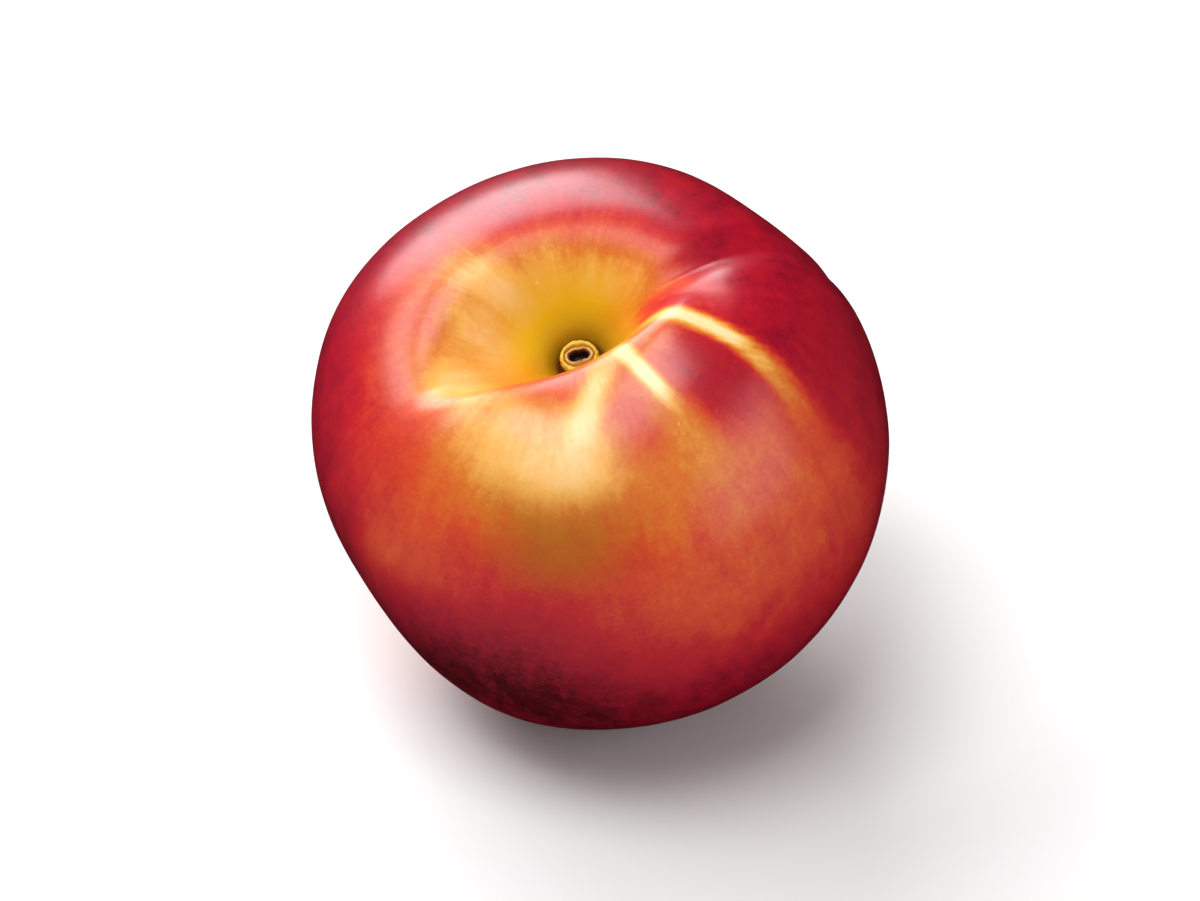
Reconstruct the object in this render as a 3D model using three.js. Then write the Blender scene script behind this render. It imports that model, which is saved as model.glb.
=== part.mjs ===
// A whole nectarine, as picked, at rest on a level surface. Millimetres, +Z up.
//
// The fruit has a frame of its own: z runs along the core from blossom end to stalk, and x points
// to the suture, the crease that joins the two ends. The skin is a formula in that frame: an
// ellipsoid, with a cavity round the stalk, the suture's groove, a dimple at the blossom end and a
// few soft lobes. The fruit is then leaned over, as it comes to rest, and pressed flat where it
// touches the surface. A short ring of dry stalk stands in the cavity.
import * as THREE from "three";

// Fruit, before its cavity is pressed in.
const HALF_TO_SUTURE = 34.1;
const HALF_TO_CHEEK = 35.0;
const HALF_HEIGHT = 30.0;
const END_SHIFT = -1.0; // lowers both ends, which puts the widest girth a little above the middle
const FULLNESS = 0.1; // how much squarer than an ellipsoid the shoulders are

// Stem cavity: an oval bowl with a steep near wall, its long way turned from the suture.
const CAVITY_DEPTH = 10.5;
const CAVITY_POWER = 4; // the higher, the flatter the floor and the steeper the wall
const CAVITY_TURN = -13;
const CAVITY_MIDDLE = -1.5;
const CAVITY_AWAY = 14.0; // half widths, away from the suture, towards it, and on the two cheeks
const CAVITY_TOWARDS = 13.0;
const CAVITY_NEAR = 4.4;
const CAVITY_FAR = 9.5;

// Suture groove and blossom end.
const SUTURE_DEPTH = 1.6;
const SUTURE_WIDTH = 2.4;
const BLOSSOM_DEPTH = 1.6;
const BLOSSOM_RADIUS = 4.2;

// Lobes of an uneven fruit: where each lies, how high it stands and how wide it spreads.
const LOBES = [
  { name: "near shoulder", azimuth: -40, polar: 31, height: 1.8, spread: 20 },
  { name: "lip beside the suture", azimuth: -20, polar: 16, height: 3.4, spread: 8 },
  { name: "suture shoulder", azimuth: 17, polar: 71, height: -1.1, spread: 17 },
  { name: "back cheek", azimuth: 178, polar: 100, height: -1.3, spread: 22 },
  { name: "far cheek", azimuth: 126, polar: 67, height: 0.9, spread: 24 },
  { name: "lower near cheek", azimuth: -141, polar: 118, height: 0.4, spread: 14 },
  { name: "near wall", azimuth: -110, polar: 30, height: -0.6, spread: 18 },
  { name: "blossom end", azimuth: -165, polar: 172, height: 2.4, spread: 26 },
  { name: "near lip", azimuth: -125, polar: 14, height: -1.3, spread: 9 },
  { name: "left shoulder", azimuth: 168, polar: 27, height: 1.0, spread: 10 },
];

// Rest: how far the core leans from upright, which way, and how the fruit is turned on its core.
const LEAN = 20.2;
const LEAN_HEADING = -112.5;
const CORE_TURN = 140.8;
const PRESSED = 1.1; // depth of skin that the resting spot flattens
const PRESSED_BLEND = 0.3; // height over which the flat spot rounds off into the skin

// Stalk remnant, and the seat that it stands in.
const STUB_RADIUS = 2.35;
const STUB_FOOT_RADIUS = 1.0;
const STUB_FOOT_HEIGHT = 1.6; // where the foot has widened to the full radius
const STUB_HEIGHT = 2.6;
const STUB_BORE_RADIUS = 1.2;
const STUB_BORE_DEPTH = 1.3;
const STUB_EDGE = 0.45; // rounding of the rim
const SEAT_RADIUS = 3.6;
const SEAT_DEPTH = 2.2;
const GAP = 0.3;

// Mesh: rings gather at the stalk, and meridians at the suture.
const RINGS = 44;
const MERIDIANS = 72;
const RING_GATHER = 1.35;
const MERIDIAN_GATHER = 0.55;
const STUB_SIDES = 32;
const RIM_STEPS = 5;

const rad = THREE.MathUtils.degToRad;

function ease(x) {
  const t = THREE.MathUtils.clamp(x, 0, 1);
  return t * t * (3 - 2 * t);
}

// The unit vector at an azimuth from the suture and a polar angle from the stalk, in radians.
function direction(azimuth, polar) {
  const girth = Math.sin(polar);
  return new THREE.Vector3(girth * Math.cos(azimuth), girth * Math.sin(azimuth), Math.cos(polar));
}

const lobes = LOBES.map((lobe) => ({
  ...lobe,
  towards: direction(rad(lobe.azimuth), rad(lobe.polar)),
}));

function lobeHeight(u) {
  let height = 0;
  for (const lobe of lobes) {
    const apart = 2 * (1 - u.dot(lobe.towards));
    height += lobe.height * Math.exp(-apart / rad(lobe.spread) ** 2);
  }
  return height;
}

// How deep the cavity is over the point (x, y), with the stalk's seat in its floor.
function cavityDepth(x, y) {
  const cos = Math.cos(rad(CAVITY_TURN));
  const sin = Math.sin(rad(CAVITY_TURN));
  const along = x * cos + y * sin - CAVITY_MIDDLE;
  const across = y * cos - x * sin;
  const halfLength = along < 0 ? CAVITY_AWAY : CAVITY_TOWARDS;
  const halfWidth = across < 0 ? CAVITY_NEAR : CAVITY_FAR;
  const out = Math.hypot(along / halfLength, across / halfWidth);
  const seat = SEAT_DEPTH / (1 + (Math.hypot(x, y) / SEAT_RADIUS) ** 8);
  return CAVITY_DEPTH / (1 + out ** CAVITY_POWER) + seat;
}

function sutureDepth(u, y) {
  const onSide = ease(u.x / Math.hypot(u.x, u.y, 1e-9) / 0.3);
  const deeperAtStalk = 0.25 + 0.75 * ease((u.z - 0.15) / 0.6);
  const deeperAtBlossom = 0.5 * ease((-u.z - 0.75) / 0.2);
  const clearOfCore = ease(Math.hypot(u.x, u.y) / 0.25);
  const profile = Math.exp(-((y / SUTURE_WIDTH) ** 2));
  return SUTURE_DEPTH * profile * onSide * clearOfCore * (deeperAtStalk + deeperAtBlossom);
}

// The skin in the fruit's own frame.
function skinPoint(u) {
  const x = HALF_TO_SUTURE * u.x;
  const y = HALF_TO_CHEEK * u.y;
  const girth = u.x * u.x + u.y * u.y;
  const z = (HALF_HEIGHT * u.z + END_SHIFT * u.z * u.z) * (1 + FULLNESS * girth);
  const pressedIn = cavityDepth(x, y) * ease((u.z + 0.2) / 0.6);
  const fromCore = Math.hypot(x, y) / BLOSSOM_RADIUS;
  const dimple = BLOSSOM_DEPTH * Math.exp(-(fromCore ** 2)) * ease(-u.z);
  const outwards = lobeHeight(u) - sutureDepth(u, y);
  return new THREE.Vector3(x, y, z - pressedIn + dimple).addScaledVector(u, outwards);
}

// A sphere's grid of rings and meridians, drawn onto the skin and leaned over.
function fruitGeometry(leaned) {
  const geometry = new THREE.SphereGeometry(1, MERIDIANS, RINGS);
  const position = geometry.getAttribute("position");
  for (let i = 0; i < position.count; i += 1) {
    const ring = Math.floor(i / (MERIDIANS + 1));
    const turn = (2 * Math.PI * ((i % (MERIDIANS + 1)) % MERIDIANS)) / MERIDIANS;
    const polar = Math.PI * (ring / RINGS) ** RING_GATHER;
    const azimuth = turn - MERIDIAN_GATHER * Math.sin(turn);
    const point = skinPoint(direction(azimuth, polar)).applyMatrix4(leaned);
    position.setXYZ(i, point.x, point.y, point.z);
  }
  geometry.deleteAttribute("uv");
  return geometry;
}

// Sets the leaned fruit down over the origin, lower by the depth that is pressed flat.
function setDown(geometry) {
  geometry.computeBoundingBox();
  const { min, max } = geometry.boundingBox;
  const move = new THREE.Vector3(-(min.x + max.x) / 2, -(min.y + max.y) / 2, -min.z - PRESSED);
  geometry.translate(move.x, move.y, move.z);
  return move;
}

// Presses what lies below the surface flat, with a soft edge round the flat spot.
function pressFlat(geometry) {
  const position = geometry.getAttribute("position");
  for (let i = 0; i < position.count; i += 1) {
    const z = position.getZ(i);
    const blended = (z + PRESSED_BLEND) ** 2 / (4 * PRESSED_BLEND);
    if (z <= -PRESSED_BLEND) position.setZ(i, 0);
    else if (z < PRESSED_BLEND) position.setZ(i, blended);
  }
  geometry.computeVertexNormals();
}

// A short round cup: the hollow rim of the stalk, closed below.
function stubGeometry() {
  const rimMiddle = STUB_RADIUS - STUB_EDGE;
  const profile = [
    new THREE.Vector2(0, 0),
    new THREE.Vector2(STUB_FOOT_RADIUS, 0),
    new THREE.Vector2(STUB_RADIUS, STUB_FOOT_HEIGHT),
  ];
  for (let step = 0; step <= RIM_STEPS; step += 1) {
    const angle = (Math.PI * step) / RIM_STEPS;
    profile.push(
      new THREE.Vector2(
        rimMiddle + STUB_EDGE * Math.cos(angle),
        STUB_HEIGHT - STUB_EDGE + STUB_EDGE * Math.sin(angle),
      ),
    );
  }
  profile.push(new THREE.Vector2(STUB_BORE_RADIUS, STUB_HEIGHT - STUB_BORE_DEPTH));
  profile.push(new THREE.Vector2(0, STUB_HEIGHT - STUB_BORE_DEPTH));
  const geometry = new THREE.LatheGeometry(profile, STUB_SIDES);
  geometry.rotateX(Math.PI / 2);
  return geometry;
}

const nectarine = new THREE.Group();

const leaned = new THREE.Matrix4()
  .makeRotationZ(rad(LEAN_HEADING))
  .multiply(new THREE.Matrix4().makeRotationY(rad(LEAN)))
  .multiply(new THREE.Matrix4().makeRotationZ(rad(CORE_TURN)));

const skin = fruitGeometry(leaned);
const move = setDown(skin);
pressFlat(skin);

const fruit = new THREE.Mesh(
  skin,
  new THREE.MeshStandardMaterial({ color: 0xb8342a, roughness: 0.3, metalness: 0 }),
);
fruit.name = "nectarine";
nectarine.add(fruit);

const core = new THREE.Group();
core.applyMatrix4(leaned);
core.position.copy(move);
nectarine.add(core);

const seatFloor = skinPoint(new THREE.Vector3(0, 0, 1)).z;
const stub = new THREE.Mesh(
  stubGeometry(),
  new THREE.MeshStandardMaterial({ color: 0x7d6a2c, roughness: 0.7, metalness: 0 }),
);
stub.name = "stem_stub";
stub.position.z = seatFloor + GAP;
core.add(stub);

export default nectarine;
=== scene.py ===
# %% [markdown]
# # A nectarine
# This lesson makes one ripe nectarine, from its form to its wax. The fruit is a single body with a
# smooth skin, so nearly everything about it is a rule: how round it is, where the stalk's cavity is
# pressed in, where the suture runs, and how the red blush lies over the yellow ground. The form is
# therefore one Geometry Nodes tree, the colours are a few shader node groups, and the ring of dry
# stalk in the cavity is a small mesh of its own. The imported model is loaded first: it fixes the
# place and the size of everything that follows.

# %% Load the frame
import math

import bmesh
import bpy
from mathutils import Matrix, Vector, noise


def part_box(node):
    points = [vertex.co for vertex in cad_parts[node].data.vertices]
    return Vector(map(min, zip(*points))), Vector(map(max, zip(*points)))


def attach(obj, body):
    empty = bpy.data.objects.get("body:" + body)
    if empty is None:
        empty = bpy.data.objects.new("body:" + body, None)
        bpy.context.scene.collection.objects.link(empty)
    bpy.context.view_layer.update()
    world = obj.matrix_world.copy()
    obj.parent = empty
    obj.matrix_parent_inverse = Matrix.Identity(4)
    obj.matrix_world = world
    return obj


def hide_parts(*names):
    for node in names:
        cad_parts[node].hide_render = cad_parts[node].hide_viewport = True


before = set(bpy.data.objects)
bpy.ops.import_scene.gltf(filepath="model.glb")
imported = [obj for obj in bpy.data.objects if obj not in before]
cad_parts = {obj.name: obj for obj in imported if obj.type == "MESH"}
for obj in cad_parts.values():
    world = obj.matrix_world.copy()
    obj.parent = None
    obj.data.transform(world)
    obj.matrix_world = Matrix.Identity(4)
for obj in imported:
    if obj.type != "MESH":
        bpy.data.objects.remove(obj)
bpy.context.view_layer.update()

MM = 0.001

# %% [markdown]
# ## Camera
# The fruit lies in front of us and we look down on it from about 39 degrees, so that the cavity and
# the near cheek both show. A long lens from a metre away keeps its outline free of perspective. The
# camera comes first because every later choice of detail depends on how large a millimetre looks.

# %% Place the camera
VIEW_ELEVATION = math.radians(39)
VIEW_DISTANCE = 1.0
FRAME_WIDTH = 0.143      # width of the view at the fruit
SENSOR_WIDTH = 36.0

low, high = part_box("nectarine")
middle = (low + high) / 2
backwards = Vector((0, -math.cos(VIEW_ELEVATION), math.sin(VIEW_ELEVATION)))
camera_data = bpy.data.cameras.new("camera")
camera_data.sensor_width = SENSOR_WIDTH
camera_data.lens = SENSOR_WIDTH * VIEW_DISTANCE / FRAME_WIDTH
camera = bpy.data.objects.new("camera", camera_data)
camera.location = middle + backwards * VIEW_DISTANCE
camera.rotation_euler = backwards.to_track_quat("Z", "Y").to_euler()
bpy.context.scene.collection.objects.link(camera)
bpy.context.scene.camera = camera
print("lens, mm:", round(camera_data.lens))

# %% [markdown]
# ## Arithmetic that builds nodes
# A form that follows a formula needs many Math nodes, and naming each one hides the formula. This
# small class lets the script write the formula as arithmetic: each sum or product of two fields
# adds the node that works it out. It serves geometry and shader trees alike, because both have the
# same Math, Map Range and vector nodes.

# %% A field that does arithmetic
class Field:
    """A value that changes over a surface, and the tree it lives in."""

    def __init__(self, tree, socket):
        self.tree = tree
        self.socket = socket

    def __add__(self, other):
        return math_node("ADD", self, other)

    def __sub__(self, other):
        return math_node("SUBTRACT", self, other)

    def __mul__(self, other):
        return math_node("MULTIPLY", self, other)

    def __truediv__(self, other):
        return math_node("DIVIDE", self, other)

    def __pow__(self, other):
        return math_node("POWER", self, other)

    def __rsub__(self, other):
        return math_node("SUBTRACT", other, self)

    __radd__ = __add__


def feed(tree, value, socket):
    """Link a field to a socket, or set the socket to a plain value."""
    if isinstance(value, Field):
        tree.links.new(value.socket, socket)
    else:
        socket.default_value = value


def add_node(tree, kind, inputs=(), output=0, **settings):
    """Add a node, set its properties, feed its inputs, and return one output as a field."""
    node = tree.nodes.new(kind)
    for name, value in settings.items():
        setattr(node, name, value)
    for key, value in dict(inputs).items():
        feed(tree, value, node.inputs[key])
    return Field(tree, node.outputs[output])


def math_node(operation, *values):
    tree = next(value.tree for value in values if isinstance(value, Field))
    return add_node(tree, "ShaderNodeMath", enumerate(values), operation=operation)


def vector_node(operation, *values, output=0):
    tree = next(value.tree for value in values if isinstance(value, Field))
    return add_node(tree, "ShaderNodeVectorMath", enumerate(values), output, operation=operation)


def ease(value, start, end, to_start=0.0, to_end=1.0):
    """Go smoothly from one value to another while the field goes from start to end."""
    inputs = {0: value, 1: start, 2: end, 3: to_start, 4: to_end}
    kind = "ShaderNodeMapRange"
    return add_node(value.tree, kind, inputs, interpolation_type="SMOOTHSTEP")


def split(vector):
    """The three parts of a vector field."""
    node = vector.tree.nodes.new("ShaderNodeSeparateXYZ")
    vector.tree.links.new(vector.socket, node.inputs[0])
    return [Field(vector.tree, socket) for socket in node.outputs]


def join(x, y, z):
    """A vector field from three parts."""
    tree = next(value.tree for value in (x, y, z) if isinstance(value, Field))
    return add_node(tree, "ShaderNodeCombineXYZ", enumerate((x, y, z)))


def new_group(name, kind, inputs, outputs):
    """A node group with named sockets; returns it with its inputs as fields and its output node."""
    group = bpy.data.node_groups.new(name, kind)
    for label, value in inputs.items():
        kind_of_value = "Float" if isinstance(value, (int, float)) else "Vector"
        group.interface.new_socket(name=label, in_out="INPUT", socket_type="NodeSocket" + kind_of_value)
    for label, socket_type in outputs.items():
        group.interface.new_socket(name=label, in_out="OUTPUT", socket_type=socket_type)
    for item in group.interface.items_tree:
        if item.in_out == "INPUT":
            item.default_value = inputs[item.name]
    source = group.nodes.new("NodeGroupInput")
    fields = {label: Field(group, source.outputs[label]) for label in inputs}
    return group, fields, group.nodes.new("NodeGroupOutput")


def use_group(tree, group, inputs):
    """Place a group in a tree, feed its named inputs, and return its output as a field."""
    node = tree.nodes.new("GeometryNodeGroup" if tree.type == "GEOMETRY" else "ShaderNodeGroup")
    node.node_tree = group
    for name, value in inputs.items():
        feed(tree, value, node.inputs[name])
    return Field(tree, node.outputs[0])


# %% [markdown]
# ## The form's dimensions
# A nectarine is close to a ball, a little wider across its cheeks than through its suture, and
# shorter from stalk to blossom end. The stalk's cavity is pressed into its top, longer one way than
# the other, with one steep wall. No fruit is even, so a handful of lobes, each a soft swelling or a
# hollow with a place, a height and a spread, give it its own shoulders and cheeks. These numbers
# could be sculpted by hand instead, but named values can be read, changed and checked.

# %% Name the dimensions of the skin
FORM = {
    "Half To Suture": 34.1 * MM,
    "Half To Cheek": 35.0 * MM,
    "Half Height": 30.0 * MM,
    "End Shift": -1.0 * MM,      # lowers both ends, which puts the widest girth above the middle
    "Fullness": 0.1,             # how much squarer than an ellipsoid the shoulders are
    "Cavity Depth": 10.5 * MM,
    "Cavity Power": 4.0,
    "Cavity Turn": math.radians(-13),
    "Cavity Middle": -1.5 * MM,
    "Cavity Away": 14.0 * MM,
    "Cavity Towards": 13.0 * MM,
    "Cavity Near": 4.4 * MM,
    "Cavity Far": 9.5 * MM,
    "Seat Radius": 3.3 * MM,
    "Seat Depth": 2.2 * MM,
    "Suture Depth": 1.6 * MM,
    "Suture Width": 2.4 * MM,
    "Crease Depth": 0.10 * MM,
    "Crease Width": 0.8 * MM,
    "Blossom Depth": 1.6 * MM,
    "Blossom Radius": 4.2 * MM,
    "Tip Height": 0.9 * MM,
    "Tip Radius": 0.8 * MM,
    "Waviness": 0.16 * MM,
    "Seed": 4.0,
    "Pressed": 1.1 * MM,
    "Pressed Blend": 0.3 * MM,
}

# Each lobe: azimuth from the suture and polar angle from the stalk, in degrees; height, in
# millimetres; and spread, in degrees.
LOBES = {
    "near shoulder": (-40, 31, 1.8, 20),
    "lip beside the suture": (-20, 16, 3.4, 8),
    "suture shoulder": (17, 71, -1.1, 17),
    "back cheek": (178, 100, -1.3, 22),
    "far cheek": (126, 67, 0.9, 24),
    "lower near cheek": (-141, 118, 0.4, 14),
    "near wall": (-110, 30, -0.6, 18),
    "blossom end": (-165, 172, 2.4, 26),
    "near lip": (-125, 14, -1.3, 9),
    "left shoulder": (168, 27, 1.0, 10),
}

# How the fruit lies: its core leans from upright, towards a heading, turned on itself.
LEAN = math.radians(20.2)
LEAN_HEADING = math.radians(-112.5)
CORE_TURN = math.radians(140.8)
leaned = (
    Matrix.Rotation(LEAN_HEADING, 3, "Z")
    @ Matrix.Rotation(LEAN, 3, "Y")
    @ Matrix.Rotation(CORE_TURN, 3, "Z")
)
print("the core leans", round(math.degrees(LEAN), 1), "degrees;", len(LOBES), "lobes")

# %% [markdown]
# ## A lobe
# One swelling is a bell curve on the sphere of directions: highest where the skin faces the lobe's
# own direction, and fading with the angle between the two. It is a node group, because the fruit
# has many of them, each with its own values.

# %% Build the lobe group
def direction(azimuth, polar):
    """The unit vector at an azimuth from the suture and a polar angle from the stalk."""
    girth = math.sin(polar)
    return Vector((girth * math.cos(azimuth), girth * math.sin(azimuth), math.cos(polar)))


def build_lobe():
    inputs = {"Direction": (0.0, 0.0, 1.0), "Towards": (0.0, 0.0, 1.0), "Height": MM, "Spread": 0.3}
    group, field, result = new_group(
        "lobe", "GeometryNodeTree", inputs, {"Height": "NodeSocketFloat"}
    )
    facing = vector_node("DOT_PRODUCT", field["Direction"], field["Towards"], output="Value")
    apart = (1.0 - facing) * 2.0
    share = math_node("EXPONENT", apart / (field["Spread"] * field["Spread"]) * -1.0)
    feed(group, share * field["Height"], result.inputs["Height"])
    return group


lobe_group = build_lobe()

# %% [markdown]
# ## The skin's form
# The tree starts from a cube cut into small squares, because a cube blown up into a ball has no
# poles where faces crowd together. Its points are drawn towards the stalk, where the form is
# finest. Each point then becomes a direction from the fruit's middle, and the formula turns that
# direction into a place on the skin. The direction is stored on the mesh as well: the colours need
# to know where on the fruit they are, whichever way it lies.

# %% Directions from a cube
CUBE_POINTS = 121        # along each edge
GATHER = 0.42            # how strongly the points are drawn to the stalk
LEAST_GIRTH = 1e-6       # keeps divisions safe on the core itself


def gathered_directions(tree):
    """A closed ball of squares, and the direction of each of its points."""
    cube = tree.nodes.new("GeometryNodeMeshCube")
    cube.inputs["Size"].default_value = (2, 2, 2)
    for axis in ("Vertices X", "Vertices Y", "Vertices Z"):
        cube.inputs[axis].default_value = CUBE_POINTS
    place = add_node(tree, "GeometryNodeInputPosition")
    eighth = math.pi / 4
    even = vector_node("TANGENT", vector_node("MULTIPLY", place, (eighth, eighth, eighth)))
    x, y, z = split(vector_node("NORMALIZE", even))
    girth = math_node("SQRT", x * x + y * y)
    polar = math_node("ARCCOSINE", z)
    drawn = polar - girth * GATHER
    closer = math_node("SINE", drawn) / math_node("MAXIMUM", girth, LEAST_GIRTH)
    return cube.outputs["Mesh"], join(x * closer, y * closer, math_node("COSINE", drawn))


# %% [markdown]
# The cavity is one over one plus a distance to a power: a bowl with a flat floor and walls that can
# be made as steep as needed. Distances are measured along a turned pair of axes, and each side of
# each axis has its own half width, so the bowl is long towards the suture and steep on the near
# side. The suture is a wide soft groove with a fine crease at its bottom.

# %% The formula, part by part
WALL_BLEND = 1.5 * MM    # half the width over which the near wall turns into the far one
SEAT_POWER = 8.0         # the higher, the more upright the seat's wall
# How a feature fades: the two heights on the unit ball, then its strength at each.
CAVITY_FADE = (-0.2, 0.4, 0.0, 1.0)
SUTURE_AT_STALK = (0.52, 0.90, 0.20, 1.0)
SUTURE_AT_BLOSSOM = (-0.75, -0.95, 0.0, 0.5)
# The suture runs down one side only, and keeps clear of the core: a cosine and a girth.
SUTURE_SIDE = 0.3
SUTURE_CLEAR = 0.25


def bell(distance):
    """A bell curve: 1 in the middle, fading with the distance, which is counted in widths."""
    return math_node("EXPONENT", distance ** 2.0 * -1.0)


def cavity(field, x, y, upwards):
    cos = math_node("COSINE", field["Cavity Turn"])
    sin = math_node("SINE", field["Cavity Turn"])
    along = x * cos + y * sin - field["Cavity Middle"]
    across = y * cos - x * sin
    long_way = math_node("GREATER_THAN", along, 0.0)
    far_side = ease(across, -WALL_BLEND, WALL_BLEND)
    half_length = field["Cavity Away"] + (field["Cavity Towards"] - field["Cavity Away"]) * long_way
    half_width = field["Cavity Near"] + (field["Cavity Far"] - field["Cavity Near"]) * far_side
    out = math_node("SQRT", (along / half_length) ** 2.0 + (across / half_width) ** 2.0)
    bowl = field["Cavity Depth"] / (1.0 + out ** field["Cavity Power"])
    from_core = math_node("SQRT", x * x + y * y)
    seat = field["Seat Depth"] / (1.0 + (from_core / field["Seat Radius"]) ** SEAT_POWER)
    return (bowl + seat) * ease(upwards, *CAVITY_FADE)


def suture(field, unit_x, girth, upwards, y):
    on_side = ease(unit_x / math_node("MAXIMUM", girth, LEAST_GIRTH), 0.0, SUTURE_SIDE)
    strength = ease(upwards, *SUTURE_AT_STALK) + ease(upwards, *SUTURE_AT_BLOSSOM)
    groove = bell(y / field["Suture Width"]) * field["Suture Depth"]
    crease = bell(y / field["Crease Width"]) * field["Crease Depth"]
    return (groove * strength + crease) * on_side * ease(girth, 0.0, SUTURE_CLEAR)


def blossom_end(field, from_core, upwards):
    dimple = bell(from_core / field["Blossom Radius"]) * field["Blossom Depth"]
    tip = bell(from_core / field["Tip Radius"]) * field["Tip Height"]
    return (dimple - tip) * ease(upwards, 0.0, -1.0)


def waviness(tree, field, towards):
    """The faint unevenness of real skin, from slow noise with a fixed seed."""
    inputs = {"Vector": towards, "W": field["Seed"], "Scale": 3.2, "Detail": 1.5}
    slow = add_node(tree, "ShaderNodeTexNoise", inputs, "Fac", noise_dimensions="4D")
    return (slow - 0.5) * 2.0 * field["Waviness"]


def skin_place(tree, field, towards):
    """Where the skin is in the fruit's own frame: x to the suture, z to the stalk."""
    unit_x, unit_y, upwards = split(towards)
    x = field["Half To Suture"] * unit_x
    y = field["Half To Cheek"] * unit_y
    girth = math_node("SQRT", unit_x * unit_x + unit_y * unit_y)
    from_core = math_node("SQRT", x * x + y * y)
    ends = field["Half Height"] * upwards + field["End Shift"] * upwards * upwards
    z = ends * (1.0 + field["Fullness"] * girth * girth)
    z = z - cavity(field, x, y, upwards) + blossom_end(field, from_core, upwards)
    swelling = waviness(tree, field, towards) - suture(field, unit_x, girth, upwards, y)
    for azimuth, polar, height, spread in LOBES.values():
        inputs = {
            "Direction": towards,
            "Towards": direction(math.radians(azimuth), math.radians(polar)),
            "Height": height * MM,
            "Spread": math.radians(spread),
        }
        swelling = swelling + use_group(tree, lobe_group, inputs)
    outwards = vector_node("SCALE", towards)
    feed(tree, swelling, outwards.socket.node.inputs["Scale"])
    return vector_node("ADD", join(x, y, z), outwards)


# %% [markdown]
# A fruit that is put down rolls until its weight is over the spot it touches, and the skin flattens
# there a little. So the finished form is leaned over, moved so that its box stands on the origin,
# and pressed flat below the surface with a soft edge. The tree ends by making its result real and
# giving it the skin material.

# %% Lean it, set it down, press it flat
def moved(tree, geometry, place=None, offset=None):
    node = tree.nodes.new("GeometryNodeSetPosition")
    tree.links.new(geometry, node.inputs["Geometry"])
    if place is not None:
        feed(tree, place, node.inputs["Position"])
    if offset is not None:
        feed(tree, offset, node.inputs["Offset"])
    return node.outputs["Geometry"]


def stored(tree, geometry, name, vector):
    node = tree.nodes.new("GeometryNodeStoreNamedAttribute")
    node.data_type = "FLOAT_VECTOR"
    node.inputs["Name"].default_value = name
    tree.links.new(geometry, node.inputs["Geometry"])
    feed(tree, vector, node.inputs["Value"])
    return node.outputs["Geometry"]


def set_down(tree, field, geometry):
    """Stand the geometry's box on the origin, lower by the depth that gets pressed flat."""
    box = tree.nodes.new("GeometryNodeBoundBox")
    tree.links.new(geometry, box.inputs["Geometry"])
    least_x, least_y, least_z = split(Field(tree, box.outputs["Min"]))
    most_x, most_y, _ = split(Field(tree, box.outputs["Max"]))
    drop = (least_z + field["Pressed"]) * -1.0
    offset = join((least_x + most_x) * -0.5, (least_y + most_y) * -0.5, drop)
    return moved(tree, geometry, offset=offset)


def pressed_flat(tree, field, geometry):
    x, y, z = split(add_node(tree, "GeometryNodeInputPosition"))
    blend = field["Pressed Blend"]
    low_part = math_node("MINIMUM", math_node("MAXIMUM", z + blend, 0.0), blend * 2.0)
    high_part = math_node("MAXIMUM", z - blend, 0.0)
    return moved(tree, geometry, place=join(x, y, low_part * low_part / (blend * 4.0) + high_part))


def build_skin_tree(material):
    inputs = {**FORM, "Lean": tuple(leaned.to_euler())}
    tree, field, result = new_group(
        "nectarine form", "GeometryNodeTree", inputs, {"Skin": "NodeSocketGeometry"}
    )
    ball, towards = gathered_directions(tree)
    geometry = stored(tree, ball, "towards", towards)
    kept = add_node(tree, "GeometryNodeInputNamedAttribute", {"Name": "towards"}, "Attribute",
                    data_type="FLOAT_VECTOR")
    geometry = moved(tree, geometry, place=skin_place(tree, field, kept))
    turn = tree.nodes.new("GeometryNodeTransform")
    tree.links.new(geometry, turn.inputs["Geometry"])
    feed(tree, field["Lean"], turn.inputs["Rotation"])
    geometry = set_down(tree, field, turn.outputs["Geometry"])
    geometry = pressed_flat(tree, field, geometry)
    for step in ("SetShadeSmooth", "RealizeInstances", "SetMaterial"):
        node = tree.nodes.new("GeometryNode" + step)
        tree.links.new(geometry, node.inputs["Geometry"])
        geometry = node.outputs["Geometry"]
    node.inputs["Material"].default_value = material
    tree.links.new(geometry, result.inputs["Skin"])
    return tree


# %% [markdown]
# ## Colours for the skin
# A shader adds up light, so colours, given as a screen shows them, are first made linear. A value
# from 0 to 1, the blush, then says how red the skin is at each place: 0 is cream, 0.2 the golden
# ground, 0.5 orange red, and 1 the darkest crimson. Everything painted on the fruit moves this one
# value up or down, as on the tree, where the sun deepens the red and a leaf's shadow keeps it yellow.
# A few marks under the near cheek also carry painted shade.

# %% Mix and string colours
def mixed(red, green, blue):
    """A colour as a screen shows it, made linear."""
    def linear(part):
        return part / 12.92 if part <= 0.04045 else ((part + 0.055) / 1.055) ** 2.4
    return (linear(red), linear(green), linear(blue), 1.0)


def between(factor, first, second):
    """One colour at 0 and the other at 1."""
    inputs = {0: factor, 6: first, 7: second}
    return add_node(factor.tree, "ShaderNodeMix", inputs, 2, data_type="RGBA")


def strung(value, stops):
    """Colours strung along a value; all the places come first, because setting one can reorder them."""
    node = value.tree.nodes.new("ShaderNodeValToRGB")
    elements = node.color_ramp.elements
    while len(elements) < len(stops):
        elements.new(0.5)
    for element, place in zip(elements, sorted(stops)):
        element.position = place
    for element, place in zip(elements, sorted(stops)):
        element.color = stops[place]
    feed(value.tree, value, node.inputs[0])
    return Field(value.tree, node.outputs[0])


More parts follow.
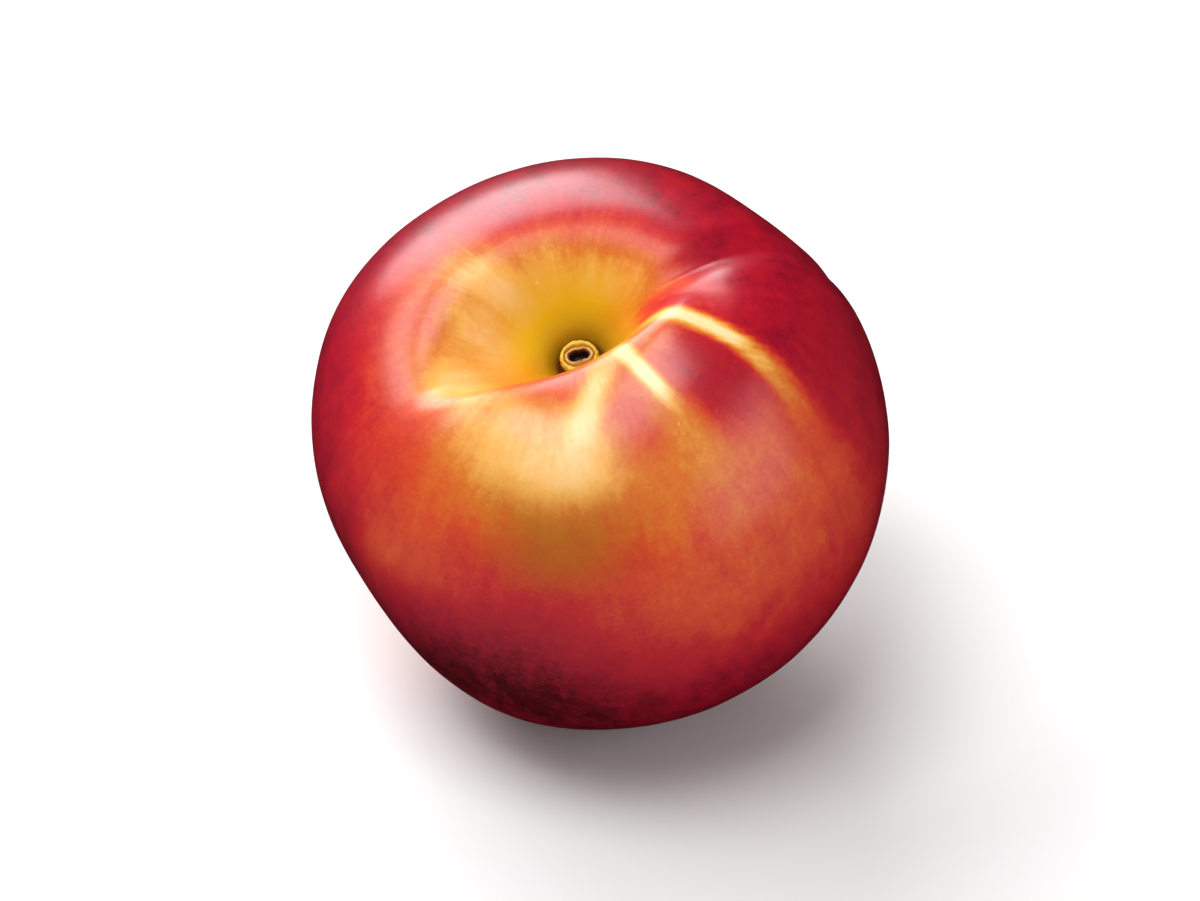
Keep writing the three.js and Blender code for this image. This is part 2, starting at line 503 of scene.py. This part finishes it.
BLUSH = {
    0.00: mixed(1.00, 0.87, 0.64),
    0.16: mixed(0.95, 0.69, 0.31),
    0.33: mixed(0.86, 0.47, 0.14),
    0.50: mixed(0.84, 0.29, 0.12),
    0.68: mixed(0.76, 0.08, 0.12),
    0.85: mixed(0.64, 0.00, 0.14),
    1.00: mixed(0.33, 0.00, 0.05),
}
CAVITY_GOLD = mixed(0.91, 0.71, 0.00)
CAVITY_AMBER = mixed(0.90, 0.58, 0.02)
CAVITY_OLIVE = mixed(0.72, 0.53, 0.00)
# Painted shade: a dark brown ring in the moat round the stalk's seat stands in for the shade there.
MOAT_PAINTED_SHADE = mixed(0.42, 0.18, 0.00)
# The near cheek's tint: brownish, as red stippled on yellow is, and darker as painted shade.
NEAR_OLIVE_AND_SHADE = mixed(0.62, 0.38, 0.04)
SCAR_BROWN = mixed(0.34, 0.18, 0.07)
print("blush:", len(BLUSH), "colours from cream to crimson")


def new_material(name):
    """A material and its tree, with its Principled shader."""
    material = bpy.data.materials.new(name)
    material.use_nodes = True
    return material, material.node_tree, material.node_tree.nodes["Principled BSDF"]


# %% [markdown]
# ## Grain that follows the fruit
# Fruit skin grows from the stalk to the blossom end, and its colour cells are drawn out that way.
# The strokes group reads noise that is stretched along the meridians, so the strokes run together
# at the stalk as real ones do. The stipple group is the same noise without the stretch, for the
# fine dots in which red skin gives way to yellow. Both are centred on zero, so that they can be
# added to the blush.

# %% Build the strokes and stipple groups
SMALL_GIRTH = 1e-5       # keeps the azimuth safe on the core itself


def round_the_core(towards):
    """The cosine and sine of the azimuth, the polar angle, and the girth at a direction."""
    x, y, z = split(towards)
    girth = math_node("MAXIMUM", math_node("SQRT", x * x + y * y), SMALL_GIRTH)
    return x / girth, y / girth, math_node("ARCCOSINE", z), girth


def build_strokes():
    inputs = {
        "Direction": (0.0, 0.0, 1.0), "Count": 12.0, "Stretch": 3.0, "Wander": 0.1, "Seed": 0.0,
    }
    group, field, result = new_group(
        "strokes", "ShaderNodeTree", inputs, {"Value": "NodeSocketFloat"}
    )
    cos, sin, polar, _ = round_the_core(field["Direction"])
    slow = {"Vector": field["Direction"], "W": field["Seed"], "Scale": 2.5, "Detail": 1.0}
    swerve = add_node(group, "ShaderNodeTexNoise", slow, "Fac", noise_dimensions="4D") - 0.5
    turn = swerve * field["Wander"]
    count = field["Count"]
    place = join((cos - sin * turn) * count, (sin + cos * turn) * count, polar * field["Stretch"])
    fine = {"Vector": place, "W": field["Seed"], "Scale": 1.0, "Detail": 3.0, "Roughness": 0.6}
    value = add_node(group, "ShaderNodeTexNoise", fine, "Fac", noise_dimensions="4D") - 0.5
    feed(group, value, result.inputs["Value"])
    return group


def build_stipple():
    inputs = {"Place": (0.0, 0.0, 0.0), "Scale": 60.0, "Detail": 2.0, "Seed": 0.0}
    group, field, result = new_group(
        "stipple", "ShaderNodeTree", inputs, {"Value": "NodeSocketFloat"}
    )
    noise_in = {"Vector": field["Place"], "W": field["Seed"], "Scale": field["Scale"],
                "Detail": field["Detail"], "Roughness": 0.55}
    value = add_node(group, "ShaderNodeTexNoise", noise_in, "Fac", noise_dimensions="4D") - 0.5
    feed(group, value, result.inputs["Value"])
    return group


strokes_group = build_strokes()
stipple_group = build_stipple()

# %% [markdown]
# ## Lenticels
# The breathing pores of the skin show as sparse pale dots, a third of a millimetre across. Cells of
# a Voronoi pattern scatter them evenly, and each cell's own random colour decides whether its dot
# shows at all.

# %% Build the lenticels group
def build_lenticels():
    inputs = {"Direction": (0.0, 0.0, 1.0), "Scale": 22.0, "Radius": 0.14, "Share": 0.4}
    group, field, result = new_group(
        "lenticels", "ShaderNodeTree", inputs, {"Mask": "NodeSocketFloat"}
    )
    cells = {"Vector": field["Direction"], "Scale": field["Scale"], "Randomness": 0.9}
    distance = add_node(group, "ShaderNodeTexVoronoi", cells, "Distance")
    chance = split(Field(group, distance.socket.node.outputs["Color"]))[0]
    dot = ease(distance, field["Radius"], field["Radius"] * 0.5)
    mask = dot * math_node("LESS_THAN", chance, field["Share"])
    feed(group, mask, result.inputs["Mask"])
    return group


lenticels_group = build_lenticels()

# %% [markdown]
# ## A brush mark
# Streaks, tongues and patches each have a place on the fruit, a direction they run in, a length, a
# width and an edge. One group paints such a mark over the blush so far: inside the mark the blush
# goes to the mark's own value. The distance is measured across the sphere of directions, so a mark
# keeps its shape wherever it lies, and a bend lets a streak curve as it follows the shoulder.

# %% Build the brush mark group
MARK_SQUARENESS = 3.0    # 2 would make a mark an ellipse, and more squares its ends


def build_brush_mark():
    inputs = {
        "Blush": 0.5, "Direction": (0.0, 0.0, 1.0),
        "Middle": (0.0, 0.0, 1.0), "Along": (1.0, 0.0, 0.0), "Half Length": 0.2, "Half Width": 0.05,
        "Bend": 0.0, "Softness": 0.5, "Fray": 0.0, "Target": 0.0, "Strength": 1.0,
    }
    group, field, result = new_group(
        "brush mark", "ShaderNodeTree", inputs, {"Blush": "NodeSocketFloat"}
    )
    away = vector_node("SUBTRACT", field["Direction"], field["Middle"])
    beside = vector_node("CROSS_PRODUCT", field["Middle"], field["Along"])
    along = vector_node("DOT_PRODUCT", away, field["Along"], output="Value")
    across = vector_node("DOT_PRODUCT", away, beside, output="Value")
    across = across - field["Bend"] * along * along
    long_way = math_node("ABSOLUTE", along / field["Half Length"]) ** MARK_SQUARENESS
    wide_way = math_node("ABSOLUTE", across / field["Half Width"]) ** MARK_SQUARENESS
    out = (long_way + wide_way) ** (1 / MARK_SQUARENESS) + field["Fray"]
    facing = vector_node("DOT_PRODUCT", field["Direction"], field["Middle"], output="Value")
    inside = ease(out, 1.0 + field["Softness"], 1.0 - field["Softness"])
    mask = inside * math_node("GREATER_THAN", facing, 0.0) * field["Strength"]
    feed(group, field["Blush"] + (field["Target"] - field["Blush"]) * mask, result.inputs["Blush"])
    return group


brush_mark_group = build_brush_mark()


def paint_mark(tree, blush, towards, fray, mark):
    """Paint one mark, given as its start, middle and end places, over the blush."""
    start, middle_place, end = (direction(*map(math.radians, place)) for place in mark["path"])
    chord = end - start
    along = (chord - middle_place * chord.dot(middle_place)).normalized()
    beside = middle_place.cross(along)
    reach = [(place - middle_place).dot(along) for place in (start, end)]
    swerve = [(place - middle_place).dot(beside) for place in (start, end)]
    inputs = {
        "Blush": blush, "Direction": towards, "Fray": fray * mark.get("fray", 1.0),
        "Middle": middle_place, "Along": along,
        "Half Length": (reach[1] - reach[0]) / 2,
        "Bend": sum(swerve) / sum(length * length for length in reach),
        "Half Width": math.radians(mark["half_width"]),
        "Softness": mark["soft"], "Target": mark["blush"], "Strength": mark.get("strength", 1.0),
    }
    return use_group(tree, brush_mark_group, inputs)


# %% [markdown]
# ## The marks of this fruit
# Places are pairs of degrees: the azimuth round the core from the suture, and the polar angle from
# the stalk. Half widths are degrees too. Red patches come first and the cream streaks last, because
# each mark covers those before it. The brownish tint of the near cheek, partly its own colour and
# partly painted shade, is a mark in a layer of its own. The two darkest marks under the near cheek
# are its own crimson deepened by painted shade.

# %% Name the marks
MARKS = {
    "ruddy left cheek": {
        "path": ((174, 36), (177, 51), (179, 66)), "half_width": 11, "soft": 0.9, "blush": 0.58,
        "strength": 0.8},
    "red between the streaks": {
        "path": ((-58, 20), (-57, 32), (-57, 45)), "half_width": 8.5, "soft": 0.6, "blush": 0.80,
        "strength": 0.95},
    "red beside the long streak": {
        "path": ((-14, 12), (-22, 19), (-28, 27)), "half_width": 5, "soft": 0.8, "blush": 0.80,
        "strength": 0.8},
    "red by the pale streak": {
        "path": ((-90, 20), (-93, 28), (-93, 37)), "half_width": 5.5, "soft": 0.9, "blush": 0.62,
        "strength": 0.85},
    "pink lip": {
        "path": ((-176, 17), (-118, 14), (-50, 17)), "half_width": 6, "soft": 0.7, "blush": 0.52,
        "strength": 0.9},
    "blotch on the far left": {
        "path": ((138, 27), (139, 32), (141, 37)), "half_width": 5.5, "soft": 0.9, "blush": 0.52,
        "strength": 0.65},
    "crimson beyond the long streak": {
        "path": ((-28, 48), (-31, 59), (-35, 70)), "half_width": 17, "soft": 0.5, "blush": 0.80,
        "strength": 0.9},
    "warm lower cheek": {
        "path": ((-42, 80), (-57, 89), (-74, 95)), "half_width": 12, "soft": 0.9, "blush": 0.60,
        "strength": 0.65},
    "ruddy near cheek": {
        "path": ((-150, 62), (-131, 65), (-110, 70)), "half_width": 9, "soft": 0.9, "blush": 0.72,
        "strength": 0.75},
    # Painted shade: these two marks deepen the underside of the near cheek past its own crimson, for
    # the shade below the fruit.
    "crimson and painted shade under the near cheek": {
        "path": ((-166, 83), (-138, 77), (-110, 84)), "half_width": 9, "soft": 0.9, "blush": 0.86,
        "strength": 0.85},
    "crimson and painted shade low on the near cheek": {
        "path": ((-160, 92), (-139, 94), (-112, 102)), "half_width": 13, "soft": 0.9, "blush": 1.0,
        "strength": 0.95},
    "ground on the hidden cheek": {
        "path": ((140, 98), (152, 120), (165, 140)), "half_width": 17, "soft": 0.8, "blush": 0.3,
        "strength": 0.8},
    "cream patch": {
        "path": ((-108, 34), (-127, 36), (-148, 35)), "half_width": 6, "soft": 0.9, "blush": 0.06,
        "strength": 0.75},
    "left tongue": {
        "path": ((170, 18), (169, 25), (166, 33)), "half_width": 4, "soft": 0.9, "blush": 0.08,
        "strength": 0.75},
    "far tongue": {
        "path": ((101, 9), (111, 19), (116, 30)), "half_width": 2.8, "soft": 0.8, "blush": 0.09,
        "strength": 0.8},
    "pale streak": {
        "path": ((-84, 13), (-108, 20), (-119, 32)), "half_width": 2.8, "soft": 0.9, "blush": 0.02,
        "strength": 0.85},
    "haze below the short streak": {
        "path": ((-75, 27), (-78, 36), (-80, 47)), "half_width": 3.6, "soft": 0.9, "blush": 0.30,
        "strength": 0.7},
    "short cream streak": {
        "path": ((-68, 12), (-74, 20), (-75, 29)), "half_width": 1.7, "soft": 0.6, "blush": 0.0},
    "orange beyond the long streak": {
        "path": ((-49, 50), (-52, 62), (-56, 76)), "half_width": 4.5, "soft": 0.9, "blush": 0.50,
        "strength": 0.75},
    "end of the long streak": {
        "path": ((-42, 36), (-46, 44), (-50, 54)), "half_width": 2.6, "soft": 0.9, "blush": 0.30,
        "strength": 0.85},
    "long cream streak": {
        "path": ((-33, 12), (-38, 26), (-45, 41)), "half_width": 2.0, "soft": 0.7, "blush": 0.0,
        "fray": 0.8},
}
# The near cheek's tint is partly its own colour and partly painted shade.
OLIVE_AND_SHADE_CHEEK = {
    "path": ((-140, 48), (-125, 50), (-108, 49)), "half_width": 8, "soft": 0.9, "blush": 1.0,
    "strength": 0.65}
print("marks to paint:", ", ".join(MARKS))

# %% [markdown]
# ## The skin material
# The blush starts as a slow slope: from the gold of the cavity it deepens quickly on the sunny side
# and slowly down the shaded cheek. Broad strokes and patches break the slope up before the marks
# are painted, and finer grain breaks it up again after. Gloss comes from a clear coat over a satin
# skin, both broken by the same stipple. Inside the cavity the coat fades out and the bowl stays
# dull. The skin lets a little light in, as flesh does.

# %% Make the skin material
SHADED_HEADING = math.radians(-113)    # azimuth of the cheek that saw least sun
FAR_HEADING = math.radians(158)        # azimuth where the gold reaches furthest from the cavity
FAR_STRETCH = 0.38                     # how much slower the blush deepens there
SHADED_EDGE = (math.radians(72), math.radians(52))     # angles from the shaded heading
# A slope's two polar angles, then its blush at each. The foot adds to the shaded slope.
SUNNY_SLOPE = (math.radians(10), math.radians(36), 0.12, 0.84)
SHADED_SLOPE = (math.radians(28), math.radians(58), 0.20, 0.50)
SHADED_FOOT = (math.radians(66), math.radians(106), 0.0, 0.42)
LEAST_SLOPE = 0.12                     # only a mark goes below this blush, or above the next
MOST_SLOPE = 0.87
# The girth at which each colour round the core begins, and the girth at which it is full.
GOLD_EDGE = (0.34, 0.17)
OLIVE_EDGE = (0.22, 0.09)
# The moat's dark ring is painted shade, between these girths.
MOAT_SHADE_EDGE = (0.098, 0.078)
SCAR_EDGE = (0.035, 0.02)
NEAR_EDGE = (-0.3, -0.8)               # sines of the azimuth, on to the cavity's steep near wall
NEAR_GOLD = 0.12                       # how much less girth the gold and the dull patch have there
NEAR_DULL = 0.3
DULL_EDGE = (0.56, 0.24)


def slope_of_blush(towards):
    """The blush before any marks: sunny all round but for one cheek."""
    cos, sin, polar, _ = round_the_core(towards)
    far_left = ease(cos * math.cos(FAR_HEADING) + sin * math.sin(FAR_HEADING), 0.2, 0.9)
    sunny = ease(polar * (1.0 - far_left * FAR_STRETCH), *SUNNY_SLOPE)
    shaded = ease(polar, *SHADED_SLOPE) + ease(polar, *SHADED_FOOT)
    facing = cos * math.cos(SHADED_HEADING) + sin * math.sin(SHADED_HEADING)
    shade = ease(facing, *map(math.cos, SHADED_EDGE))
    return sunny + (shaded - sunny) * shade


def skin_colour(towards, blush, olive_and_shade):
    """The ramp's colour, with the near cheek's brownish tint and painted shade, the cavity's gold, the
    painted shade in the moat round the stalk, and the blossom scar.
    """
    _, sin, _, girth = round_the_core(towards)
    upper = math_node("GREATER_THAN", split(towards)[2], 0.0)
    colour = between(olive_and_shade, strung(blush, BLUSH), NEAR_OLIVE_AND_SHADE)
    near = ease(sin, *NEAR_EDGE)
    gold = ease(girth + near * NEAR_GOLD, *GOLD_EDGE) * ease(blush, 0.5, 0.2) * upper
    colour = between(gold, colour, between(ease(sin, 0.1, 0.8), CAVITY_AMBER, CAVITY_GOLD))
    colour = between(ease(girth, *OLIVE_EDGE) * upper, colour, CAVITY_OLIVE)
    # Painted shade in the moat round the stalk.
    colour = between(ease(girth, *MOAT_SHADE_EDGE) * upper, colour, MOAT_PAINTED_SHADE)
    return between(ease(girth, *SCAR_EDGE) * (1.0 - upper), colour, SCAR_BROWN)


def dull_patch(towards):
    """1 inside the cavity, where the skin has no gloss."""
    _, sin, _, girth = round_the_core(towards)
    return ease(girth + ease(sin, *NEAR_EDGE) * NEAR_DULL, *DULL_EDGE)


def make_skin_material():
    material, tree, shader = new_material("nectarine_skin")
    stored_direction = add_node(tree, "ShaderNodeAttribute", (), "Vector", attribute_name="towards")
    towards = vector_node("NORMALIZE", stored_direction)

    def strokes(count, stretch, wander, seed):
        inputs = {"Count": count, "Stretch": stretch, "Wander": wander, "Seed": seed}
        return use_group(tree, strokes_group, {"Direction": towards, **inputs})

    def stipple(scale, detail, seed):
        inputs = {"Place": towards, "Scale": scale, "Detail": detail, "Seed": seed}
        return use_group(tree, stipple_group, inputs)

    broad = strokes(7.0, 1.6, 0.5, 1.0)
    middling = strokes(16.0, 3.5, 0.3, 9.0)
    fine = strokes(34.0, 7.0, 0.2, 2.0)
    dots = stipple(70.0, 2.0, 3.0)
    patches = stipple(7.0, 3.0, 4.0)
    mottle = stipple(24.0, 4.0, 8.0)
    blush = slope_of_blush(towards) + broad * 0.2 + patches * 0.28
    blush = math_node("MAXIMUM", math_node("MINIMUM", blush, MOST_SLOPE), LEAST_SLOPE)
    fray = fine * 0.6 + patches * 0.5
    for mark in MARKS.values():
        blush = paint_mark(tree, blush, towards, fray, mark)
    grain = middling * 0.16 + fine * 0.12 + dots * 0.18 + mottle * 0.18
    blush = blush + grain * ease(blush, 0.05, 0.45, 0.25, 1.0)
    pores = use_group(tree, lenticels_group, {"Direction": towards})
    blush = blush - pores * 0.07
    # The tint and painted shade of the near cheek, as a mask.
    olive_and_shade = paint_mark(tree, 0.0, towards, fray, OLIVE_AND_SHADE_CHEEK)
    feed(tree, skin_colour(towards, blush, olive_and_shade), shader.inputs["Base Color"])
    dull = dull_patch(towards)
    feed(tree, 0.38 + dots * 0.16 + patches * 0.12 + dull * 0.4, shader.inputs["Roughness"])
    feed(tree, (0.88 + patches * 0.6) * (1.0 - dull), shader.inputs["Coat Weight"])
    shader.inputs["Coat Roughness"].default_value = 0.28
    shader.inputs["Specular IOR Level"].default_value = 0.25
    shader.inputs["IOR"].default_value = 1.45
    shader.inputs["Subsurface Weight"].default_value = 0.12
    shader.inputs["Subsurface Radius"].default_value = (1.0, 0.35, 0.15)
    shader.inputs["Subsurface Scale"].default_value = 1.5 * MM
    ripple = stipple(26.0, 3.0, 5.0)
    bump_in = {"Strength": 0.6, "Distance": 0.12 * MM, "Height": ripple + dots * 0.3}
    feed(tree, add_node(tree, "ShaderNodeBump", bump_in), shader.inputs["Normal"])
    print("skin material:", len(tree.nodes), "nodes,", len(MARKS), "marks")
    return material


skin_material = make_skin_material()

# %% [markdown]
# ## Grow the skin
# The tree now runs once. Its result becomes a plain mesh, and the modifier is taken off, so that
# nothing live is left on the finished piece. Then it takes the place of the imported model's fruit.

# %% Make the nectarine's skin
def run_tree(name, tree, sizes):
    """Run a form's tree with its sizes, and return its result as an object with a plain mesh."""
    piece = bpy.data.objects.new(name, bpy.data.meshes.new(name))
    bpy.context.scene.collection.objects.link(piece)
    modifier = piece.modifiers.new("form", "NODES")
    modifier.node_group = tree
    for item in tree.interface.items_tree:
        if item.in_out == "INPUT":
            modifier[item.identifier] = sizes[item.name]
    depsgraph = bpy.context.evaluated_depsgraph_get()
    made = bpy.data.meshes.new_from_object(
        piece.evaluated_get(depsgraph), preserve_all_data_layers=True, depsgraph=depsgraph
    )
    piece.modifiers.remove(modifier)
    piece.data = made
    made.name = name
    return piece


form_tree = build_skin_tree(skin_material)
skin = run_tree("nectarine_skin", form_tree, {**FORM, "Lean": tuple(leaned.to_euler())})
corners = [Vector(map(pick, zip(*(v.co for v in skin.data.vertices)))) for pick in (min, max)]
print("skin:", len(skin.data.polygons), "faces; its box differs from the frame's, mm, by",
      [[round(v / MM, 2) for v in made - packed] for made, packed in zip(corners, (low, high))])
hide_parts("nectarine")
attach(skin, "root")

# %% [markdown]
# ## The ring of stalk
# When the fruit comes off the tree, a short ring of the dry stalk stays behind in its cavity: a
# pale inner rim, a thin groove, a yellow outer rim, and a dark hollow where the core of the stalk
# broke away. Turning a profile would make it too perfect. So the profile is a smooth curve through
# a few points, and each turn of it is disturbed: the hollow is oval, the rim rises and falls, and
# fibres run down the outside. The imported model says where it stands: the lowest points of its stalk
# lie evenly about the axis, so their mean is the middle of the foot.

# %% Find the stalk's place
FOOT_TOLERANCE = 0.01 * MM

axis = leaned @ Vector((0, 0, 1))
packed_points = [v.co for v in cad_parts["stem_stub"].data.vertices]
lowest = min(point.dot(axis) for point in packed_points)
foot_points = [point for point in packed_points if point.dot(axis) < lowest + FOOT_TOLERANCE]
foot = sum(foot_points, Vector()) / len(foot_points)
print("stalk's foot, mm:", [round(v / MM, 2) for v in foot])

# %% Shape the stalk ring
STALK_SIDES = 120
STALK_STEPS = 6          # points between two named ones
# Radius and height in millimetres, from the middle of the hollow outwards and down to the foot.
STALK_PROFILE = [
    (0.0, 1.05), (0.45, 1.04), (0.72, 1.22), (0.85, 1.72), (0.97, 2.22), (1.16, 2.44),
    (1.38, 2.30), (1.57, 2.12), (1.78, 2.36), (2.04, 2.32), (2.25, 2.04), (2.34, 1.68),
    (2.24, 1.40), (2.27, 1.05), (2.00, 0.66), (1.50, 0.25), (1.12, -0.04), (0.95, -0.34),
    (0.0, -0.36),
]
HOLLOW_HEADING = math.radians(-18)     # the long way of the oval hollow
OVAL = 0.30                            # how much longer or shorter than round it is
OVAL_REACH = 1.95                      # radius in millimetres at which the ring is round again
OVAL_BLEND = 0.7
RIM_HEIGHT = 2.5
FIBRES = 46
FIBRE_DEPTH = 0.035
STALK_SEED = Vector((3.1, 7.7, 1.3))


def smooth_through(points, steps):
    """A Catmull-Rom curve: points between the named ones, on a curve that passes through them."""
    ends = [points[0], *points, points[-1]]
    curve = []
    for before, here, there, after in zip(ends, ends[1:], ends[2:], ends[3:]):
        for step in range(steps):
            t = step / steps
            weights = (
                -t + 2 * t**2 - t**3, 2 - 5 * t**2 + 3 * t**3, t + 4 * t**2 - 3 * t**3, t**3 - t**2
            )
            near_points = (before, here, there, after)
            curve.append([sum(w * p[k] for w, p in zip(weights, near_points)) / 2 for k in (0, 1)])
    return [*curve, list(points[-1])]


def stalk_point(radius, height, turn, inside):
    """A place on the ring in its own frame, in millimetres, with its growth disturbed."""
    around = Vector((math.cos(turn), math.sin(turn), 0))
    slow = noise.noise(around * 1.3 + STALK_SEED)
    quick = noise.noise(around * 4.0 + STALK_SEED)
    rough = noise.fractal(Vector((around.x * radius, around.y * radius, height)) * 2.2, 0.8, 2.0, 4)
    oval = 1 + OVAL * inside * math.cos(2 * (turn - HOLLOW_HEADING))
    fibre = FIBRE_DEPTH * (1 - inside) * math.sin(FIBRES * turn + 3.0 * quick)
    standing = min(max(height, 0.0) / RIM_HEIGHT, 1.0)
    wide = radius * oval * (1 + 0.035 * slow) + (fibre + 0.05 * rough) * min(radius, 1.0)
    tall = height + standing * (0.16 * slow + 0.09 * quick) + 0.07 * rough * standing
    return around * wide + Vector((0, 0, tall))


def make_stalk_ring(material):
    profile = smooth_through(STALK_PROFILE, STALK_STEPS)
    mesh = bmesh.new()
    along_profile = mesh.verts.layers.float.new("profile")
    last = len(profile) - 1
    rings = []
    for index, (radius, height) in enumerate(profile):
        inside = max(0.0, min(1.0, (OVAL_REACH - radius) / OVAL_BLEND)) if index <= last / 2 else 0.0
        sides = 1 if index in (0, last) else STALK_SIDES     # both ends lie on the axis
        ring = []
        for side in range(sides):
            point = stalk_point(radius, height, 2 * math.pi * side / STALK_SIDES, inside) * MM
            vert = mesh.verts.new(foot + leaned @ point)
            vert[along_profile] = index / last
            ring.append(vert)
        rings.append(ring)
    for inner, outer in zip(rings, rings[1:]):
        for side in range(STALK_SIDES):
            after = (side + 1) % STALK_SIDES
            corners = [inner[side % len(inner)], outer[side % len(outer)],
                       outer[after % len(outer)], inner[after % len(inner)]]
            mesh.faces.new(list(dict.fromkeys(corners)))
    bmesh.ops.recalc_face_normals(mesh, faces=mesh.faces)
    for face in mesh.faces:
        face.smooth = True
    data = bpy.data.meshes.new("stalk_ring")
    mesh.to_mesh(data)
    mesh.free()
    data.materials.append(material)
    ring_object = bpy.data.objects.new("stalk_ring", data)
    bpy.context.scene.collection.objects.link(ring_object)
    return ring_object


# %% [markdown]
# ## The stalk's finish
# Dry stalk is dull and straw coloured, with brown where it tore. The colour follows the profile, so
# the hollow is dark, the groove brown, and both rims pale. Stipple on the piece's own place in
# metres roughens it, in colour and in height.

# %% Make the stalk's material
STALK_COLOURS = {
    0.00: mixed(0.11, 0.03, 0.00),
    0.17: mixed(0.16, 0.05, 0.01),
    0.23: mixed(0.48, 0.27, 0.09),
    0.28: mixed(0.90, 0.72, 0.42),
    0.33: mixed(0.84, 0.62, 0.26),
    0.39: mixed(0.64, 0.34, 0.03),
    0.44: mixed(0.88, 0.70, 0.16),
    0.51: mixed(0.96, 0.80, 0.30),
    0.57: mixed(0.88, 0.70, 0.20),
    0.64: mixed(0.70, 0.52, 0.07),
    0.75: mixed(0.46, 0.28, 0.03),
    1.00: mixed(0.20, 0.08, 0.01),
}
STALK_DIRT = mixed(0.33, 0.18, 0.04)


def make_stalk_material():
    material, tree, shader = new_material("dry_stalk")
    place = add_node(tree, "ShaderNodeTexCoord", (), "Object")
    grain, blots = (
        use_group(tree, stipple_group, {"Place": place, "Scale": scale, "Detail": detail, "Seed": seed})
        for scale, detail, seed in ((2600.0, 3.0, 6.0), (800.0, 2.0, 7.0))
    )
    profile = add_node(tree, "ShaderNodeAttribute", (), "Fac", attribute_name="profile")
    colour = strung(profile + grain * 0.05 + blots * 0.06, STALK_COLOURS)
    dirt = ease(blots + grain * 0.5, 0.06, 0.26, 0.0, 0.6)
    colour = between(dirt, colour, STALK_DIRT)
    feed(tree, colour, shader.inputs["Base Color"])
    feed(tree, 0.62 + grain * 0.3, shader.inputs["Roughness"])
    bump_in = {"Strength": 0.7, "Distance": 0.08 * MM, "Height": grain + blots * 0.6}
    feed(tree, add_node(tree, "ShaderNodeBump", bump_in), shader.inputs["Normal"])
    return material


stalk_ring = make_stalk_ring(make_stalk_material())
print("stalk ring:", len(stalk_ring.data.polygons), "faces")
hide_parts("stem_stub")
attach(stalk_ring, "root")

# %% [markdown]
# ## Floor and light
# The fruit lies on a plain white floor. A wide soft light stands low behind it and draws the pale
# arc along its far shoulder. Another hangs overhead, a little to the front, for the near lip and
# the cheek below it. A small one on the left reaches into the cavity, and a broad one low on the
# right fills the right cheek. The floor sends their light back up under the cheeks. White walls and
# a white floor would also mirror themselves in the wax and turn the dark red milky, so both are
# kept out of the gloss, as black card does it in a studio.

# %% Lay the floor and hang the lights
FLOOR_SIZE = 6.0
WORLD_STRENGTH = 0.30
# Each soft light: heading and elevation in degrees, distance, width and height in metres, and watts.
SOFTBOXES = {
    "back_softbox": (114, 32, 1.0, 0.8, 0.85, 9.6),
    "top_softbox": (-132, 72, 1.0, 0.6, 0.5, 5.8),
    "left_softbox": (166, 46, 1.3, 0.55, 0.5, 4.0),
    "right_softbox": (-32, 22, 1.5, 1.2, 1.0, 6.0),
}


def make_floor():
    half = FLOOR_SIZE / 2
    square = [(-half, -half, 0), (half, -half, 0), (half, half, 0), (-half, half, 0)]
    data = bpy.data.meshes.new("floor")
    data.from_pydata(square, [], [(0, 1, 2, 3)])
    floor = bpy.data.objects.new("floor", data)
    bpy.context.scene.collection.objects.link(floor)
    material, _, shader = new_material("white_floor")
    shader.inputs["Base Color"].default_value = mixed(0.93, 0.93, 0.93)
    shader.inputs["Roughness"].default_value = 0.6
    data.materials.append(material)
    floor.visible_glossy = False
    return floor


def hang_softbox(name, heading, elevation, distance, width, height, watts):
    """A soft light that faces the fruit, from a heading round from +X and a height in degrees."""
    heading, elevation = math.radians(heading), math.radians(elevation)
    level = math.cos(elevation)
    along, across = level * math.cos(heading), level * math.sin(heading)
    towards_light = Vector((along, across, math.sin(elevation)))
    data = bpy.data.lights.new(name, "AREA")
    data.shape = "RECTANGLE"
    data.size = width
    data.size_y = height
    data.energy = watts
    light = bpy.data.objects.new(name, data)
    light.location = middle + towards_light * distance
    light.rotation_euler = towards_light.to_track_quat("Z", "Y").to_euler()
    bpy.context.scene.collection.objects.link(light)


make_floor()
for name, setting in SOFTBOXES.items():
    hang_softbox(name, *setting)
world = bpy.data.worlds.new("studio")
world.use_nodes = True
background = world.node_tree.nodes["Background"]
background.inputs["Color"].default_value = (1, 1, 1, 1)
background.inputs["Strength"].default_value = WORLD_STRENGTH
world.cycles_visibility.glossy = False
bpy.context.scene.world = world
bpy.context.scene.view_settings.view_transform = "Standard"
print("lights:", ", ".join(SOFTBOXES))
